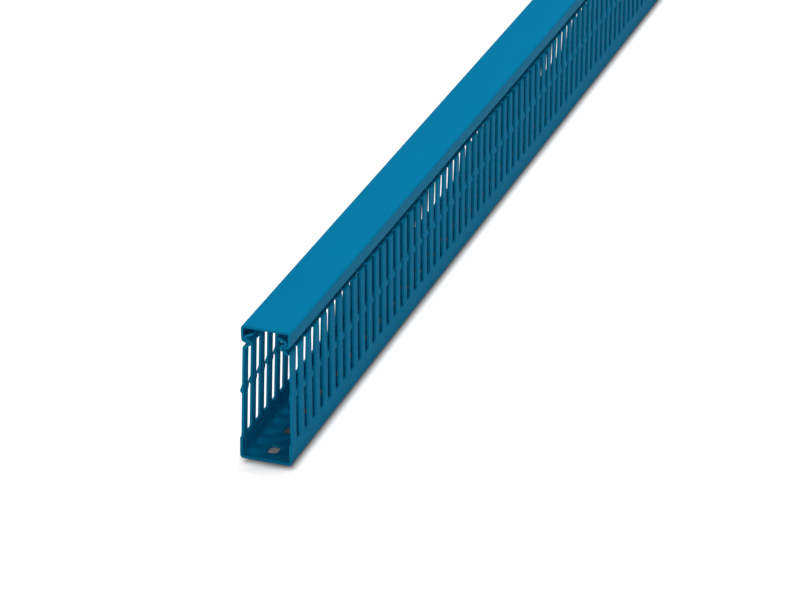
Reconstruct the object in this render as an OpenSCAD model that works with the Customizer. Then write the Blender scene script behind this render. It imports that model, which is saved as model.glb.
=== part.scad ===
// Slotted wiring duct with a clip-on cover, a piece of stock that is sold by the length.
// X runs along the duct, Y across it and Z up. The origin is at the middle of the underside.

/* [Duct] */
// Length of the piece
duct_l = 1000; // [200:25:2000]
// Width over the base
duct_w = 30; // [28:0.5:60]
// Height over the cover
duct_h = 80; // [70:1:120]
// Thickness of the side walls
wall_t = 1.4; // [1:0.1:1.8]
// Thickness of the floor
floor_t = 1.7; // [1.2:0.1:3]
// Radius of the two bottom edges
foot_r = 2; // [1:0.1:3]
// Inward lean of each side wall, in degrees
wall_lean = 1; // [0.5:0.1:1.4]
// Height at which the walls begin to lean
lean_z = 11; // [6:0.5:20]

/* [Stiffening rib] */
// Height of the middle of the rib
rib_z = 41; // [36:0.5:46]
// Height of the rib over its slopes
rib_h = 4.5; // [3:0.5:10]
// How far the rib stands out of the wall
rib_out = 0.5; // [0.3:0.1:1.2]

/* [Slots] */
// Distance from one slot to the next
slot_pitch = 12.5; // [10:0.5:25]
// Width of a slot
slot_w = 6.4; // [4:0.1:8]
// Height of the foot of a slot
slot_z = 12.5; // [8:0.5:20]
// Radius of the two corners at the foot of a slot
slot_r = 1; // [0.5:0.1:2]
// How far the top of a slot reaches above the corner of the shoulder
slot_over = 0.5; // [0:0.1:1.5]
// Height over which a slot narrows to the slit above it
slot_funnel = 1.2; // [0.5:0.1:3]
// Distance from the duct's end to the middle of the first whole slot
slot_start = 11.2; // [5:0.1:12.5]
// Width left open between the two nubs of a slot
nub_gap = 1.2; // [0.8:0.1:2]
// Height of a nub where it is widest
nub_flat = 4.4; // [1:0.1:4.5]
// Height of a nub over its slopes
nub_h = 6; // [5:0.5:10]
// Width of the slit between two finger heads
slit_w = 0.8; // [0.6:0.1:2]

/* [Finger heads] */
// Thickness of the curled head
head_t = 1.3; // [1:0.1:1.4]
// Radius of the head's bends, at the middle of its thickness
head_r = 1; // [0.9:0.05:1.3]
// Slope of the shoulder below the neck, in degrees
shoulder_a = 37; // [30:1:45]
// Slope of the side that rises from the neck to the bead, in degrees
rise_a = 29; // [20:1:35]
// Length of that side between its two corners
rise_l = 6; // [5:0.1:7]
// Slope of the retaining arm, in degrees
arm_a = 24; // [15:1:30]
// Length of the retaining arm from its corner
arm_l = 6.5; // [5:0.1:7.5]
// Depth from the top of the cover down to the bead's corner
bead_depth = 6.7; // [6:0.1:8]

/* [Fixing holes] */
// Distance from one fixing hole to the next
hole_pitch = 25; // [20:2.5:100]
// Distance from the duct's end to the first fixing hole
hole_start = 12.5; // [8:0.5:25]
// Width of a fixing hole
hole_w = 6.5; // [4:0.1:8]
// Length of a fixing hole
hole_l = 10; // [9:0.1:16]

/* [Cover] */
// Width over the cover's top
cover_w = 28.4; // [26:0.1:60]
// Thickness of the cover
cover_t = 1.3; // [1:0.1:1.4]
// Radius of the cover's bends, at the middle of its thickness
cover_r = 0.9; // [0.8:0.1:2]
// Inward lean of the cover's flanges, in degrees
flange_lean = 2; // [0:0.5:4]
// Depth of the cover down to the corner of its lip
flange_h = 8.5; // [8:0.1:10]
// How far the lip reaches inward from that corner
lip_in = 2.9; // [2:0.1:3.2]
// How far the lip drops on that way
lip_drop = 1.3; // [0.8:0.1:1.5]
// Running gap between the cover and the finger heads
cover_gap = 0.3; // [0.2:0.05:0.5]

/* [Hidden] */
$fn = 32;
overcut = 1;
bend_facet = 60;
foot_facet = 30;
head_run = 1;

first_slot = slot_start - slot_pitch;
slots = floor((duct_l + slot_w / 2 - first_slot) / slot_pitch) + 1;
last_slot = first_slot + (slots - 1) * slot_pitch;
holes = floor((duct_l - 2 * hole_start) / hole_pitch) + 1;

// Outer face of the side wall, and of the cover's flange, at the height z
function wall_y(z) = duct_w / 2 - max(0, z - lean_z) * tan(wall_lean);
function flange_y(z) = cover_w / 2 - (duct_h - z) * tan(flange_lean);

// Corners of the curled head, from the wall up to the tip of the arm
bead_z = duct_h - bead_depth;
bead_out = flange_y(bead_z) - cover_t - cover_gap;
bead_corner = [bead_out - head_r - head_t / 2 + head_r / sin((rise_a + arm_a) / 2), bead_z];
neck_corner = bead_corner - rise_l * [cos(rise_a), sin(rise_a)];
arm_tip = bead_corner + arm_l * [-cos(arm_a), sin(arm_a)];
wall_mid = wall_y(neck_corner.y) - head_t / 2;
shoulder_l = (wall_mid - neck_corner.x) / (cos(shoulder_a) - sin(shoulder_a) * tan(wall_lean));
shoulder_corner = neck_corner + shoulder_l * [cos(shoulder_a), -sin(shoulder_a)];
slot_top = shoulder_corner.y + slot_over;

// A unit step in the direction a, in degrees
function step(a) = [cos(a), sin(a)];

// The same points on the other side of the duct, in reverse order
function mirrored(points) = [for (i = [len(points) - 1 : -1 : 0]) [-points[i].x, points[i].y]];

// One edge of a strip of thickness t along a path of corners, with each bend rounded to radius r
// at the middle of the thickness: side is 1 for the left edge and -1 for the right one
function strip_edge(path, r, t, side) = let (
    last = len(path) - 1,
    heading = [for (i = [0 : last - 1])
        atan2(path[i + 1].y - path[i].y, path[i + 1].x - path[i].x)]
) [
    path[0] + side * t / 2 * step(heading[0] + 90),
    for (i = [1 : last - 1]) let (
        turn = (heading[i] - heading[i - 1] + 540) % 360 - 180,
        centre = path[i] - r * tan(abs(turn) / 2) * step(heading[i - 1])
            + sign(turn) * r * step(heading[i - 1] + 90),
        facets = ceil(abs(turn) / bend_facet)
    ) for (k = [0 : facets])
        centre + (side * t / 2 - sign(turn) * r) * step(heading[i - 1] + turn * k / facets + 90),
    path[last] + side * t / 2 * step(heading[last - 1] + 90)
];

// The whole outline of such a strip
function strip_outline(path, r, t) = let (back = strip_edge(path, r, t, 1)) [
    each strip_edge(path, r, t, -1),
    for (i = [len(back) - 1 : -1 : 0]) back[i]
];

// Right half of the channel's section, from the foot up round the head and down to the floor
channel_side = let (
    head = [shoulder_corner - [0, head_run], shoulder_corner, neck_corner, bead_corner, arm_tip],
    inner_edge = strip_edge(head, head_r, head_t, 1)
) [
    for (a = [-90 : foot_facet : 0]) [duct_w / 2 - foot_r, foot_r] + foot_r * step(a),
    [duct_w / 2, lean_z],
    [wall_y(rib_z - rib_h / 2), rib_z - rib_h / 2],
    [wall_y(rib_z) + rib_out, rib_z - rib_h / 2 + rib_out],
    [wall_y(rib_z) + rib_out, rib_z],
    [wall_y(rib_z + rib_h / 2), rib_z + rib_h / 2],
    each strip_edge(head, head_r, head_t, -1),
    for (i = [len(inner_edge) - 1 : -1 : 1]) inner_edge[i],
    [duct_w / 2 - wall_t, lean_z],
    [duct_w / 2 - wall_t, floor_t]
];

// One slot seen from the side: round at its foot's corners, pinched by two nubs, with a slit above it
module slot_outline() {
    half = slot_w / 2;
    side = [
        [half - slot_r, slot_z],
        [half, slot_z + slot_r],
        [half, rib_z - nub_h / 2],
        [nub_gap / 2, rib_z - nub_flat / 2],
        [nub_gap / 2, rib_z + nub_flat / 2],
        [half, rib_z + nub_h / 2],
        [half, slot_top - slot_funnel],
        [slit_w / 2, slot_top],
        [slit_w / 2, duct_h]
    ];
    for (s = [-1, 1]) translate([s * (half - slot_r), slot_z + slot_r]) circle(slot_r);
    polygon([each side, each mirrored(side)]);
}

// One fixing hole of the floor, drawn round its middle
module hole_outline() {
    run = hole_l - hole_w;
    square([run, hole_w], center = true);
    for (s = [-1, 1]) translate([s * run / 2, 0]) circle(d = hole_w);
}

// Stands a section in Y and Z up and draws it out along the duct
module along_duct() {
    rotate([90, 0, 90]) linear_extrude(duct_l, center = true) children();
}

// Where the saw cut runs through a slot, what it leaves loose beyond the slit
module loose_end(from, to) {
    translate([from - duct_l / 2, -duct_w / 2 - overcut, slot_z + slot_r])
        cube([to - from, duct_w + 2 * overcut, duct_h]);
}

module slotted_channel() color("steelblue") difference() {
    along_duct() polygon([each channel_side, each mirrored(channel_side)]);
    for (k = [0 : slots - 1])
        translate([first_slot + k * slot_pitch - duct_l / 2, 0, 0])
            rotate([90, 0, 0]) linear_extrude(duct_w + 2 * overcut, center = true) slot_outline();
    if (first_slot > 0 && first_slot < slot_w / 2) loose_end(-overcut, first_slot);
    if (last_slot < duct_l && last_slot > duct_l - slot_w / 2) loose_end(last_slot, duct_l + overcut);
    for (k = [0 : holes - 1])
        translate([hole_start + k * hole_pitch - duct_l / 2, 0, -overcut])
            linear_extrude(floor_t + 2 * overcut) hole_outline();
}

module snap_cover() color("deepskyblue") {
    top_corner = [flange_y(duct_h) - cover_t / 2, duct_h - cover_t / 2];
    lip_corner = [flange_y(duct_h - flange_h) - cover_t / 2, duct_h - flange_h];
    half = [lip_corner - [lip_in, lip_drop], lip_corner, top_corner];
    along_duct() polygon(strip_outline([each half, each mirrored(half)], cover_r, cover_t));
}

slotted_channel();
snap_cover();
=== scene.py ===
import math

import bmesh
import bpy
from mathutils import Matrix, Vector


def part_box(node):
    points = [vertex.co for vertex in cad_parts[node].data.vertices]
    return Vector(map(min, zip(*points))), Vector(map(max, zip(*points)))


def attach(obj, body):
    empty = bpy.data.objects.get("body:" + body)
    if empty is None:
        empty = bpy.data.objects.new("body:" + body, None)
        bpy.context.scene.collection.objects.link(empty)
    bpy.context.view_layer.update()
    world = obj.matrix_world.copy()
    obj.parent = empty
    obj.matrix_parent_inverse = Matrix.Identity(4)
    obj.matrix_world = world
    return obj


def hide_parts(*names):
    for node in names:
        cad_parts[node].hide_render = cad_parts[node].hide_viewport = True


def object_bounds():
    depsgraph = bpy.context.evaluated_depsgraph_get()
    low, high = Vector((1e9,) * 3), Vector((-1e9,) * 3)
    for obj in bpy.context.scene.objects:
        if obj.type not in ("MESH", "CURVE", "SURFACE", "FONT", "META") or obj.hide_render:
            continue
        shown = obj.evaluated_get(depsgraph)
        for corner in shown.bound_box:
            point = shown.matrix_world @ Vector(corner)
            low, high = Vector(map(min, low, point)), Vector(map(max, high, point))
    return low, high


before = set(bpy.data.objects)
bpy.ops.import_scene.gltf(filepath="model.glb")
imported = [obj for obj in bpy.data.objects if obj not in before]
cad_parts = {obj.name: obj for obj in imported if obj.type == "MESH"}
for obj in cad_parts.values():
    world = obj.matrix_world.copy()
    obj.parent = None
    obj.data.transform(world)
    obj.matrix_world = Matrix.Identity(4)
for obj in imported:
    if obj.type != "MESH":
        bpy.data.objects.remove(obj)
cad_low, cad_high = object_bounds()


# ---- Channel ----
# One length of rigid PVC, drawn through a die: a floor and two thin walls that lean in a little, with a
# stiffening rib half-way up and a curled head on top that holds the cover. The slots in both walls and
# the slotted holes in the floor are punched afterwards, and the ends are sawn.

channel_low, channel_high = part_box("slotted_channel")
near_end, far_end = channel_low.x, channel_high.x
base_half = 0.015
wall = 0.0014
floor_height = 0.0017
foot_radius, inner_radius = 0.002, 0.0006
lean_height, lean = 0.011, math.radians(1)
rib_bottom, rib_crest, rib_top, rib_out = 0.03875, 0.041, 0.04325, 0.0005
head_thickness, head_radius = 0.0013, 0.001
shoulder_slope, rise_slope, arm_slope = (math.radians(a) for a in (37, 29, 24))
rise_length, arm_length, bead_drop = 0.006, 0.0065, 0.0067
cover_half, cover_thickness, flange_lean = 0.0142, 0.0013, math.radians(2)
running_gap = 0.0003
head_root, tip_length = 0.001, 0.0004
soft_edge = 0.0001
bend_steps = 5


def wall_face(height):
    """Distance of the wall's outer face from the middle plane of the duct."""
    return base_half - max(0, height - lean_height) * math.tan(lean)


def bent_strip(corners, radius, thickness):
    """Rows (right point, left point) of a strip of even thickness, bent round at its corners."""
    corners = [Vector(c) for c in corners]
    headings = [(b - a).normalized() for a, b in zip(corners, corners[1:])]
    middle = [(corners[0], headings[0])]
    for corner, before, after in zip(corners[1:-1], headings, headings[1:]):
        turn = math.atan2(before.x * after.y - before.y * after.x, before.dot(after))
        to_centre = Vector((-before.y, before.x)) * math.copysign(radius, turn)
        centre = corner - before * radius * math.tan(abs(turn) / 2) + to_centre
        for k in range(bend_steps + 1):
            swing = Matrix.Rotation(turn * k / bend_steps, 2)
            middle.append((centre - swing @ to_centre, swing @ before))
    middle.append((corners[-1], headings[-1]))
    return [(p + Vector((h.y, -h.x)) * thickness / 2, p - Vector((h.y, -h.x)) * thickness / 2)
            for p, h in middle]


def rounded_tip(rows):
    """The rows that close the last end of a strip with a blunt round."""
    right, left = rows[-1]
    middle, half = (right + left) / 2, (right - left) / 2
    bluntness = 0.7
    ahead = (middle - (rows[-2][0] + rows[-2][1]) / 2).normalized() * half.length * bluntness
    return [(middle + ahead * math.sin(a) + half * math.cos(a),
             middle + ahead * math.sin(a) - half * math.cos(a))
            for a in (math.radians(25), math.radians(50), math.radians(72))]


# the curled head, from the top of the wall over shoulder, neck and bead to the tip of the arm
bead_reach = cover_half - bead_drop * math.tan(flange_lean) - cover_thickness - running_gap
bead = Vector((bead_reach - head_radius - head_thickness / 2
               + head_radius / math.sin((rise_slope + arm_slope) / 2), cad_high.z - bead_drop))
neck = bead - rise_length * Vector((math.cos(rise_slope), math.sin(rise_slope)))
arm_end = bead + (arm_length - tip_length) * Vector((-math.cos(arm_slope), math.sin(arm_slope)))
shoulder_run = (wall_face(neck.y) - head_thickness / 2 - neck.x) / (
    math.cos(shoulder_slope) - math.sin(shoulder_slope) * math.tan(lean))
shoulder = neck + shoulder_run * Vector((math.cos(shoulder_slope), -math.sin(shoulder_slope)))
head = bent_strip([shoulder - Vector((0, head_root)), shoulder, neck, bead, arm_end],
                  head_radius, head_thickness)
head += rounded_tip(head)

# the rib as heights and shares of its full depth, with soft corners
rib = [(rib_bottom - soft_edge, 0), (rib_bottom + soft_edge, 0.15), (rib_bottom + 4 * soft_edge, 0.85),
       (rib_bottom + 6 * soft_edge, 1), (rib_crest - 2 * soft_edge, 1), (rib_crest + 3 * soft_edge, 0.9),
       (rib_top - 4 * soft_edge, 0.12), (rib_top + 2 * soft_edge, 0)]

# rows up the wall and round the head, as (running height, outer point, inner point)
section = [(lean_height, Vector((base_half, lean_height)), Vector((base_half - wall, lean_height)))]
for height, out in rib:
    share = (height - lean_height) / (head[0][1].y - lean_height)
    face = Vector((wall_face(height) + out * rib_out, height))
    section.append((height, face, section[0][2].lerp(head[0][1], share)))
for k, (face, back) in enumerate(head):
    step = ((face + back) / 2 - (head[k - 1][0] + head[k - 1][1]) / 2).length
    section.append((section[-1][0] + step if k else face.y, face, back))


def wall_point(x, height, depth, side):
    """A point of the wall: depth is 0 on its outer face and 1 on its inner one."""
    last = next(k for k, row in enumerate(section) if row[0] >= height - 1e-9)
    below, above = section[max(last - 1, 0)], section[max(last, 1)]
    share = (height - below[0]) / (above[0] - below[0])
    point = below[1].lerp(above[1], share).lerp(below[2].lerp(above[2], share), depth)
    return (x, side * point.x, point.y)


# the punched slots, pinched by two nubs where the rib runs and open above through a slit, and the holes
slot_pitch, slot_half, slot_foot, slot_corner = 0.0125, 0.0032, 0.0125, 0.001
slot_top, funnel = shoulder.y + 0.0012, 0.0012
slit_half, nub_half = 0.0004, 0.0019
nub_slope, nub_flat = 0.0025, 0.0014
slot_offset = 0.0013
first_slot, last_slot = near_end - slot_offset, far_end - slot_offset
hole_pitch, hole_half_length, hole_half_width = 0.025, 0.005, 0.00325
edge_break = 0.00012
corner_steps, quarter_steps = 4, 6

vertices, faces, is_cut = [], [], []


def lay_strips(rings, cut_columns=()):
    """Faces between rings of matched points. The columns named are cut edges, which look duller."""
    start, width = len(vertices), len(rings[0])
    for ring in rings:
        vertices.extend(ring)
    for i in range(len(rings) - 1):
        for j in range(width - 1):
            corner = start + i * width + j
            faces.append((corner, corner + 1, corner + width + 1, corner + width))
            is_cut.append(j in cut_columns)


def lay_cap(ring):
    """One flat face over a ring of points, which is a cut end."""
    faces.append(tuple(range(len(vertices), len(vertices) + len(ring))))
    vertices.extend(ring)
    is_cut.append(True)


def stitch(lower, upper):
    """Triangles between two chains of points along the duct that are spaced differently."""
    start, i, j = len(vertices), 0, 0
    vertices.extend(lower)
    vertices.extend(upper)
    while i < len(lower) - 1 or j < len(upper) - 1:
        climb = i == len(lower) - 1 or (j < len(upper) - 1 and upper[j + 1][0] < lower[i + 1][0])
        here, there = start + i, start + len(lower) + j
        faces.append((here, there + 1, there) if climb else (here, here + 1, there))
        is_cut.append(False)
        i, j = (i, j + 1) if climb else (i + 1, j)


def broken_edge(inner_x, inner_z, x, height, away_x, away_z, side):
    """A ring from the middle of a finger over the broken edges of a slot and back on the inside."""
    depth = edge_break / wall
    over = (x + away_x * edge_break, height + away_z * edge_break)
    return [wall_point(inner_x, inner_z, 0, side), wall_point(*over, 0, side),
            wall_point(x, height, depth, side), wall_point(x, height, 1 - depth, side),
            wall_point(*over, 1, side), wall_point(inner_x, inner_z, 1, side)]


# half a slot: (x, height), the direction away from the slot, and the point of the finger behind it,
# first the flat foot and its round corner
half_slot = [((0, slot_foot), (0, -1), (0, lean_height))]
flat_run, foot_top = slot_half - slot_corner, slot_foot + slot_corner
for k in range(corner_steps + 1):
    angle, corner_share = math.pi / 2 * k / corner_steps, 2 * k / corner_steps
    behind = (flat_run + (slot_pitch / 2 - flat_run) * min(corner_share, 1),
              lean_height + (foot_top - lean_height) * max(corner_share - 1, 0))
    away_x, away_z = math.sin(angle), -math.cos(angle)
    round_point = (flat_run + slot_corner * away_x, foot_top + slot_corner * away_z)
    half_slot.append((round_point, (away_x, away_z), behind))
feet = len(half_slot)

# then its half width at each height, past the nub, the funnel and the slit
nub_side = [(nub_slope + 3 * soft_edge, slot_half), (nub_slope - soft_edge, slot_half - 4 * soft_edge),
            (nub_flat + soft_edge, nub_half + 4 * soft_edge), (nub_flat - 3 * soft_edge, nub_half)]
shape = [(rib_crest - away, half) for away, half in nub_side]
shape += [(rib_crest + away, half) for away, half in reversed(nub_side)]
shape += [(slot_top - funnel, slot_half), (slot_top - funnel * 0.75, slot_half - 4 * soft_edge),
          (slot_top - funnel * 0.2, slit_half + 5 * soft_edge), (slot_top + 2 * soft_edge, slit_half)]
levels = sorted({h for h, half in shape} | {row[0] for row in section if row[0] > foot_top})
for height in levels:
    above = next((k for k, (h, half) in enumerate(shape) if h >= height), None)
    if above is None:
        half = slit_half
    elif above == 0:
        half = slot_half
    else:
        (h0, half0), (h1, half1) = shape[above - 1], shape[above]
        half = half0 + (half1 - half0) * (height - h0) / (h1 - h0)
    half_slot.append(((half, height), None, (slot_pitch / 2, height)))
for k in range(feet, len(half_slot)):
    (x0, h0), (x1, h1) = half_slot[k - 1][0], half_slot[min(k + 1, len(half_slot) - 1)][0]
    run = Vector((x1 - x0, h1 - h0)).normalized()
    half_slot[k] = (half_slot[k][0], (run.y, -run.x), half_slot[k][2])

# the fingers, each in halves beside its slots: a slot that a saw cut runs through keeps what still holds
foot_stations = {near_end, far_end}
slots = round((last_slot - first_slot) / slot_pitch)
for k in range(slots + 1):
    centre = first_slot + k * slot_pitch
    for hand in (-1, 1):
        if not near_end < centre + hand * slot_half < far_end:
            continue
        saw = max(0, near_end - centre)
        for side in (-1, 1):
            rings = []
            for (x, height), (away_x, away_z), (behind_x, behind_z) in half_slot:
                ring = broken_edge(behind_x, behind_z, x, height, away_x, away_z, side)
                rings.append([(centre + hand * max(p[0], saw), p[1], p[2]) for p in ring])
                if behind_z == lean_height:
                    foot_stations.add(centre + hand * max(behind_x, saw))
            lay_strips(rings, (1, 2, 3))
            lay_cap(rings[-1])
            if saw:
                lay_cap(rings[0])

# what the far saw cut leaves of the wall beyond the last slot
for side in (-1, 1):
    rings = [broken_edge(x, lean_height, x, slot_foot, 0, -1, side) for x in (last_slot, far_end)]
    lay_strips(rings, (1, 2, 3))
    lay_cap(rings[-1])
    foot_stations.add(last_slot)

# the floor round each fixing hole, a quarter at a time
flat_half = base_half - foot_radius
quarter = []
for k in range(quarter_steps + 1):
    angle, corner_share = math.pi / 2 * k / quarter_steps, 2 * k / quarter_steps
    behind = (hole_pitch / 2 + (hole_half_length - hole_pitch / 2) * max(corner_share - 1, 0),
              flat_half * min(corner_share, 1))
    quarter.append((hole_half_length - hole_half_width, hole_half_width, angle, behind))
quarter.append((0, hole_half_width, math.pi / 2, (0, flat_half)))
floor_stations, end_stations = {near_end, far_end}, {flat_half, -flat_half}
for k in range(round((far_end - near_end) / hole_pitch)):
    centre = near_end + (k + 0.5) * hole_pitch
    for way in (-1, 1):
        for side in (-1, 1):
            rings = []
            for run, radius, angle, (behind_x, behind_y) in quarter:
                reach = [(behind_x, behind_y)]
                for r in (radius + edge_break, radius):
                    reach.append((run + r * math.cos(angle), r * math.sin(angle)))
                flat = [(centre + way * x, side * y) for x, y in reach]
                heights = (0, 0, edge_break, floor_height - edge_break, floor_height, floor_height)
                rings.append([(*p, z) for p, z in zip(flat + flat[::-1], heights)])
                if behind_y == flat_half:
                    floor_stations.add(centre + way * behind_x)
                if behind_x == hole_pitch / 2:
                    end_stations.add(side * behind_y)
            lay_strips(rings, (1, 2, 3))

# the rounded feet, the plain wall above them and the saw cuts through them
foot_rows = [(flat_half + foot_radius * math.sin(a), foot_radius * (1 - math.cos(a)),
              flat_half + inner_radius * math.sin(a), floor_height + inner_radius * (1 - math.cos(a)))
             for a in (math.pi / 2 * k / quarter_steps for k in range(quarter_steps + 1))]
floor_stations, foot_stations = sorted(floor_stations), sorted(foot_stations)
for side in (-1, 1):
    for skin in (0, 1):
        rings = [[(x, side * row[2 * skin], row[2 * skin + 1]) for x in floor_stations] for row in foot_rows]
        lay_strips(rings)
        stitch(rings[-1], [wall_point(x, lean_height, skin, side) for x in foot_stations])
    for x in (near_end, far_end):
        rings = [[(x, side * row[2 * skin], row[2 * skin + 1]) for skin in (0, 1)] for row in foot_rows]
        rings.append([wall_point(x, lean_height, skin, side) for skin in (0, 1)])
        lay_strips(rings, (0,))
for x in (near_end, far_end):
    lay_strips([[(x, y, 0), (x, y, floor_height)] for y in sorted(end_stations)], (0,))


def join_mesh(name, vertices, faces, is_cut):
    """A closed mesh with welded seams, soft bends and crisp corners; cut faces take the second plastic."""
    weld, crisp_angle = 2e-6, math.radians(32)
    mesh = bpy.data.meshes.new(name)
    mesh.from_pydata(vertices, [], faces)
    mesh.polygons.foreach_set("material_index", [int(c) for c in is_cut])
    mesh.polygons.foreach_set("use_smooth", [True] * len(faces))
    work = bmesh.new()
    work.from_mesh(mesh)
    bmesh.ops.remove_doubles(work, verts=work.verts, dist=weld)
    bmesh.ops.dissolve_degenerate(work, edges=work.edges, dist=weld / 20)
    bmesh.ops.recalc_face_normals(work, faces=work.faces)
    work.to_mesh(mesh)
    work.free()
    mesh.set_sharp_from_angle(angle=crisp_angle)
    piece = bpy.data.objects.new(name, mesh)
    bpy.context.scene.collection.objects.link(piece)
    return piece


class Wire:
    """A shader socket in sums: each operator adds the Math node that it stands for."""

    def __init__(self, tree, socket):
        self.tree, self.socket = tree, socket

    def node(self, kind, settings, inputs, output=0):
        made = self.tree.nodes.new(kind)
        for key, value in settings.items():
            setattr(made, key, value)
        for key, value in inputs.items():
            if isinstance(value, Wire):
                self.tree.links.new(value.socket, made.inputs[key])
            else:
                made.inputs[key].default_value = value
        return Wire(self.tree, made.outputs[output] if made.outputs else None)

    def maths(self, operation, first, second):
        return self.node("ShaderNodeMath", {"operation": operation}, {0: first, 1: second})

    def ramp(self, low, high, kind="SMOOTHSTEP"):
        """0 up to the low value, 1 from the high one on."""
        return self.node("ShaderNodeMapRange", {"interpolation_type": kind}, {
            "Value": self, "From Min": low, "From Max": high})

    def mixed(self, first, second):
        """The first colour where this is 0 and the second where it is 1."""
        return self.node("ShaderNodeMix", {"data_type": "RGBA"}, {"Factor": self, 6: first, 7: second}, 2)

    def __add__(self, other):
        return self.maths("ADD", self, other)

    def __sub__(self, other):
        return self.maths("SUBTRACT", self, other)

    def __rsub__(self, other):
        return self.maths("SUBTRACT", other, self)

    def __mul__(self, other):
        return self.maths("MULTIPLY", self, other)

    __radd__, __rmul__ = __add__, __mul__


# PVC coloured in the mass: satin, with faint lines along the way it was drawn and a fine grain. Punched
# and sawn edges show the same colour, only duller and a little chalky.
# the last colour is a painted shadow, laid in a thin band at the heights below, where the cover's lip shades
# the shoulder
teal, cut_teal, painted_crease_shadow = (0.001, 0.205, 0.395), (0.002, 0.21, 0.39), (0, 0.02, 0.045, 1)
crease_start, crease_deep, crease_end = 0.0668, 0.0677, 0.0687


def drawn_plastic(name, colour, roughness, line_depth, grain_depth, painted_shadow_depth=0.0):
    """PVC as it leaves the die: faint drawing lines along the duct, a fine grain and slow drifts.

    The last argument sets how much a painted shadow darkens the narrow band between the shoulder and the
    cover's lip."""
    material = bpy.data.materials.new(name)
    material.use_nodes = True
    tree = material.node_tree
    tree.nodes.clear()
    wire = Wire(tree, None)
    place = wire.node("ShaderNodeTexCoord", {}, {}, "Object")
    stretched = wire.node("ShaderNodeMapping", {}, {"Vector": place, "Scale": (6, 900, 900)})
    lines = wire.node("ShaderNodeTexNoise", {}, {"Vector": stretched, "Scale": 1.0, "Detail": 3.0})
    grain = wire.node("ShaderNodeTexNoise", {}, {"Vector": place, "Scale": 2600.0, "Detail": 2.0})
    drift = wire.node("ShaderNodeTexNoise", {}, {"Vector": place, "Scale": 22.0, "Detail": 2.0})
    darker = [c * 0.93 for c in colour] + [1]
    lighter = [c * 1.07 for c in colour] + [1]
    tint = (drift * 0.6 + lines * 0.25 + grain * 0.15).mixed(darker, lighter)
    height = wire.node("ShaderNodeSeparateXYZ", {}, {"Vector": place}, "Z")
    # painted shadow: 1 in the thin band under the cover's lip, 0 elsewhere
    painted_shadow_band = height.ramp(crease_start, crease_deep) * (1 - height.ramp(crease_deep, crease_end))
    relief = lines * line_depth + grain * grain_depth
    bump = wire.node("ShaderNodeBump", {}, {"Height": relief, "Strength": 0.6, "Distance": 0.0001})
    drift_share, line_share = 0.10, 0.08
    steady = roughness - (drift_share + line_share) / 2
    surface = wire.node("ShaderNodeBsdfPrincipled", {}, {
        "Base Color": (painted_shadow_band * painted_shadow_depth).mixed(tint, painted_crease_shadow),
        "Roughness": drift * drift_share + lines * line_share + steady,
        "Normal": bump, "Specular IOR Level": 0.01})
    wire.node("ShaderNodeOutputMaterial", {}, {"Surface": surface})
    return material


channel = join_mesh("duct_channel", vertices, faces, is_cut)
cut_plastic = drawn_plastic("cut plastic", cut_teal, 0.62, 0.2, 1.0)
# the channel's plastic carries the painted shadow under the cover's lip
channel.data.materials.append(drawn_plastic("channel plastic", teal, 0.46, 0.5, 0.3, 0.75))
channel.data.materials.append(cut_plastic)
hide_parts("slotted_channel")
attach(channel, "channel")


# ---- Cover ----
# A second PVC extrusion: a flat top with two flanges whose lips hook in under the beads of the
# finger heads. It is pressed on from above and slides along the duct.

flange_drop, lip_in, lip_drop = 0.0085, 0.0029, 0.0013
lip_share = 0.9
bend_radius = 0.00075
spans = 40
cover_low, cover_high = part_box("snap_cover")
top_corner = Vector((cover_half - cover_thickness / 2, cad_high.z - cover_thickness / 2))
lip_corner = Vector((cover_half - flange_drop * math.tan(flange_lean) - cover_thickness / 2,
                     cad_high.z - flange_drop))
lip_end = lip_corner - Vector((lip_in, lip_drop)) * lip_share
right = [lip_end, lip_corner, top_corner]
left = [Vector((-p.x, p.y)) for p in reversed(right)]
rows = bent_strip(right + left, bend_radius, cover_thickness)
rows += rounded_tip(rows)
rows = [(b, a) for a, b in rounded_tip([(b, a) for a, b in reversed(rows)])][::-1] + rows
outline = [p for p, q in rows] + [q for p, q in reversed(rows)]
vertices, faces, is_cut = [], [], []
stations = [cover_low.x + (cover_high.x - cover_low.x) * k / spans for k in range(spans + 1)]
lay_strips([[(x, p.x, p.y) for p in outline + outline[:1]] for x in stations])
for x in (stations[0], stations[-1]):
    lay_strips([[(x, p.x, p.y), (x, q.x, q.y)] for p, q in rows], (0,))
cover = join_mesh("duct_cover", vertices, faces, is_cut)
cover.data.materials.append(drawn_plastic("cover plastic", teal, 0.42, 0.5, 0.3))
cover.data.materials.append(cut_plastic)
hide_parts("snap_cover")
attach(cover, "cover")


# ---- Table ----
# A wide sheet of white paper on a table. Close round the duct a painted shadow makes it a little darker, and
# a painted shade makes it darkest underneath, with painted light where the first hole at either end would let
# some in.

bright_paper, painted_shadow_paper = (0.80, 0.79, 0.78, 1), (0.42, 0.40, 0.38, 1)
# painted shade under the duct, and painted light near the first hole at either end
painted_light_under, painted_shade_under = (0.56, 0.45, 0.40, 1), (0.07, 0.075, 0.09, 1)
# the painted shadow is centred a little to the right of the duct and fades over a few millimetres
shadow_shift = 0.003
shadow_start, shadow_end, end_stretch = -0.0007, 0.0052, 0.62
edge_blur, hole_strip, painted_hole_light = 0.0004, (0.007, 0.011), (0.032, 0.018)
own_light = 0.5

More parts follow.
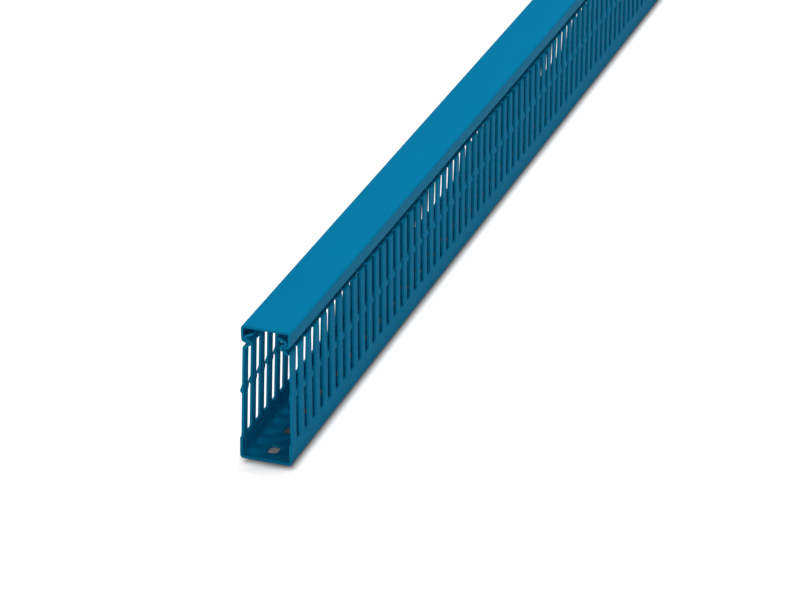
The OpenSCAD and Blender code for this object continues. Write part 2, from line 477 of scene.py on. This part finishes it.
bpy.ops.mesh.primitive_plane_add(size=12)
table = bpy.context.object
table.name = "table"
white = bpy.data.materials.new("white table")
white.use_nodes = True
white.node_tree.nodes.clear()
wire = Wire(white.node_tree, None)
seen = wire.node("ShaderNodeLightPath", {}, {}, "Is Camera Ray")
place = wire.node("ShaderNodeTexCoord", {}, {}, "Object")
moved = wire.node("ShaderNodeVectorMath", {"operation": "ADD"}, {0: place, 1: (0, shadow_shift, 0)})
folded = wire.node("ShaderNodeVectorMath", {"operation": "ABSOLUTE"}, {0: moved})
past_edge = wire.node("ShaderNodeVectorMath", {"operation": "SUBTRACT"}, {
    0: folded, 1: (far_end, base_half - shadow_shift, 0)})
outside = wire.node("ShaderNodeVectorMath", {"operation": "MAXIMUM"}, {0: past_edge, 1: (0, 0, 0)})
scaled = wire.node("ShaderNodeVectorMath", {"operation": "MULTIPLY"}, {0: outside, 1: (end_stretch, 1, 0)})
distance = wire.node("ShaderNodeVectorMath", {"operation": "LENGTH"}, {0: scaled}, "Value")
along = wire.node("ShaderNodeSeparateXYZ", {}, {"Vector": folded}, "X")
across = wire.node("ShaderNodeSeparateXYZ", {}, {"Vector": folded}, "Y")
# how far out of the painted shadow a point lies: 0 at the duct's foot, 1 a few millimetres away
clear = distance.ramp(shadow_start, shadow_end)
# painted shade in the strip under the duct, with painted light fading in towards the first hole at either end
painted_shade_beneath = (1 - across.ramp(*hole_strip)) * (1 - distance.ramp(0, edge_blur, "LINEAR"))
under = along.ramp(*(far_end - x for x in painted_hole_light)).mixed(painted_shade_under, painted_light_under)
# the paper's colour, with the painted shadow round the duct and the painted shade and light beneath it
paper = painted_shade_beneath.mixed(clear.mixed(painted_shadow_paper, bright_paper), under)
# seen straight on it glows a little, so that it shows white away from the duct, and the glow fades into the
# painted shadow close round it
paint = wire.node("ShaderNodeBsdfDiffuse", {}, {"Color": paper})
lift = wire.node("ShaderNodeEmission", {}, {"Color": (1, 1, 1, 1), "Strength": seen * clear * own_light})
both = wire.node("ShaderNodeAddShader", {}, {0: paint, 1: lift})
wire.node("ShaderNodeOutputMaterial", {}, {"Surface": both})
table.data.materials.append(white)


# ---- Light ----
# A wide soft light from above, weaker ones off the near end and the side, and a white room that fills
# the shadows a little.

fill = 0.16
world = bpy.data.worlds.new("studio")
bpy.context.scene.world = world
world.use_nodes = True
world.node_tree.nodes.clear()
sky = Wire(world.node_tree, None)
straight = sky.node("ShaderNodeLightPath", {}, {}, "Is Camera Ray")
room = sky.node("ShaderNodeBackground", {}, {"Color": (1, 1, 1, 1), "Strength": straight * (1 - fill) + fill})
sky.node("ShaderNodeOutputWorld", {}, {"Surface": room})


def soft_light(name, place, target, size, power):
    """A round softbox at a place, turned to its target."""
    lamp = bpy.data.lights.new(name, "AREA")
    lamp.shape, lamp.size, lamp.energy = "DISK", size, power
    light = bpy.data.objects.new(name, lamp)
    light.location = place
    light.rotation_euler = (Vector(target) - Vector(place)).to_track_quat("-Z", "Y").to_euler()
    bpy.context.scene.collection.objects.link(light)


soft_light("overhead softbox", (0, 0.1, 2.4), (0, 0, 0), 0.9, 38)
soft_light("end softbox", (-2.6, -0.5, 0.7), (0, 0, 0.04), 1.2, 15)
soft_light("side softbox", (0.7, -1.5, 1.9), (0, 0, 0.04), 0.5, 9)


# ---- Camera ----
# A long lens above the near end and a little to its right, held slightly askew. It looks along the duct,
# whose far quarter runs out of the frame.

around, above, roll = math.radians(18.328), math.radians(25.313), math.radians(0.955)
stand_off = 1.9415
aim = Vector((near_end + 0.2205, -0.0022, 0))
look = Vector((math.cos(above) * math.cos(around), math.cos(above) * math.sin(around), -math.sin(above)))
lens = bpy.data.cameras.new("camera")
lens.sensor_width, lens.lens = 36, 145.17
lens.clip_start, lens.clip_end = 0.05, 30
camera = bpy.data.objects.new("camera", lens)
camera.location = aim - look * stand_off
camera.rotation_mode = "QUATERNION"
camera.rotation_quaternion = look.to_track_quat("-Z", "Y") @ Matrix.Rotation(roll, 3, "Z").to_quaternion()
bpy.context.scene.collection.objects.link(camera)
bpy.context.scene.camera = camera
bpy.context.scene.view_settings.view_transform = "Standard"
